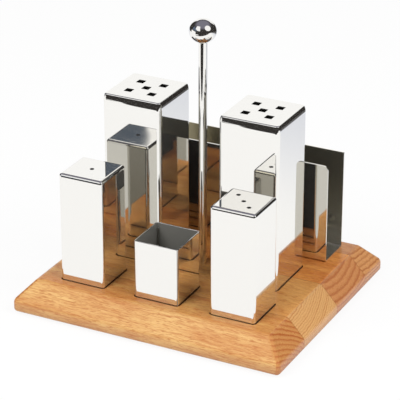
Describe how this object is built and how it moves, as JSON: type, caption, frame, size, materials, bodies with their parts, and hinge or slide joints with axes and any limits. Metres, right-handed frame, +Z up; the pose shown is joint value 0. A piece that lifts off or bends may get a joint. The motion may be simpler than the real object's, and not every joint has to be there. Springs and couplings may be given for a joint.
{
  "type": "spice shaker set",
  "caption": "Square polished steel shakers, an open toothpick cup and a bent sheet napkin holder on a bevelled wooden tray with a ball-topped carrying post.",
  "frame": {"origin": "on the ground, under the middle of the tray", "axes": "+Z up, +X to the right along the tray's front edge, +Y from the small shakers towards the napkin holder at the back"},
  "size_m": [0.191, 0.1648, 0.1928],
  "materials": {
    "beech_front": "oiled steamed beech, side grain along X",
    "beech_mid_front": "oiled beech, paler stave",
    "beech_mid_back": "oiled steamed beech, redder stave",
    "beech_back": "oiled steamed beech",
    "polished_steel": "mirror-polished stainless steel",
    "cup_steel": "mirror-polished outside, dull inside",
    "holder_steel": "mirror-polished outside, dull inside",
    "plain_steel": "mill-finish stainless sheet",
    "fastener_steel": "plain stainless fasteners",
    "stopper_plastic": "soft natural polyethylene",
    "foot_rubber": "matt black rubber"
  },
  "bodies": {
    "tray": {"tray_stave_front": "beech_front", "tray_stave_mid_front": "beech_mid_front", "tray_stave_mid_back": "beech_mid_back", "tray_stave_back": "beech_back", "foot_front_left": "foot_rubber", "foot_front_right": "foot_rubber", "foot_back_left": "foot_rubber", "foot_back_right": "foot_rubber", "napkin_holder": "holder_steel", "napkin_holder_screws": "fastener_steel", "post": "polished_steel", "post_knob": "polished_steel", "post_washer": "fastener_steel", "post_nut": "fastener_steel"},
    "one_hole_shaker_plug": {"one_hole_shaker_stopper": "stopper_plastic"},
    "one_hole_shaker_can": {"one_hole_shaker_shell": "polished_steel", "one_hole_shaker_base": "plain_steel"},
    "three_hole_shaker_plug": {"three_hole_shaker_stopper": "stopper_plastic"},
    "three_hole_shaker_can": {"three_hole_shaker_shell": "polished_steel", "three_hole_shaker_base": "plain_steel"},
    "tall_shaker_left_plug": {"tall_shaker_left_stopper": "stopper_plastic"},
    "tall_shaker_left_can": {"tall_shaker_left_shell": "polished_steel", "tall_shaker_left_base": "plain_steel"},
    "tall_shaker_right_plug": {"tall_shaker_right_stopper": "stopper_plastic"},
    "tall_shaker_right_can": {"tall_shaker_right_shell": "polished_steel", "tall_shaker_right_base": "plain_steel"},
    "toothpick_cup": {"toothpick_cup_wall": "cup_steel", "toothpick_cup_base": "plain_steel"}
  },
  "joints": [
    {"name": "one_hole_shaker_lift", "type": "slide", "parent": "tray", "child": "one_hole_shaker_plug", "axis": [0, 0, 1], "range_m": [0, 0.09]},
    {"name": "one_hole_shaker_unstop", "type": "slide", "parent": "one_hole_shaker_plug", "child": "one_hole_shaker_can", "axis": [0, 0, 1], "range_m": [0, 0.02]},
    {"name": "three_hole_shaker_lift", "type": "slide", "parent": "tray", "child": "three_hole_shaker_plug", "axis": [0, 0, 1], "range_m": [0, 0.09]},
    {"name": "three_hole_shaker_unstop", "type": "slide", "parent": "three_hole_shaker_plug", "child": "three_hole_shaker_can", "axis": [0, 0, 1], "range_m": [0, 0.02]},
    {"name": "tall_shaker_left_lift", "type": "slide", "parent": "tray", "child": "tall_shaker_left_plug", "axis": [0, 0, 1], "range_m": [0, 0.13]},
    {"name": "tall_shaker_left_unstop", "type": "slide", "parent": "tall_shaker_left_plug", "child": "tall_shaker_left_can", "axis": [0, 0, 1], "range_m": [0, 0.02]},
    {"name": "tall_shaker_right_lift", "type": "slide", "parent": "tray", "child": "tall_shaker_right_plug", "axis": [0, 0, 1], "range_m": [0, 0.13]},
    {"name": "tall_shaker_right_unstop", "type": "slide", "parent": "tall_shaker_right_plug", "child": "tall_shaker_right_can", "axis": [0, 0, 1], "range_m": [0, 0.02]},
    {"name": "toothpick_cup_lift", "type": "slide", "parent": "tray", "child": "toothpick_cup", "axis": [0, 0, 1], "range_m": [0, 0.055]}
  ]
}
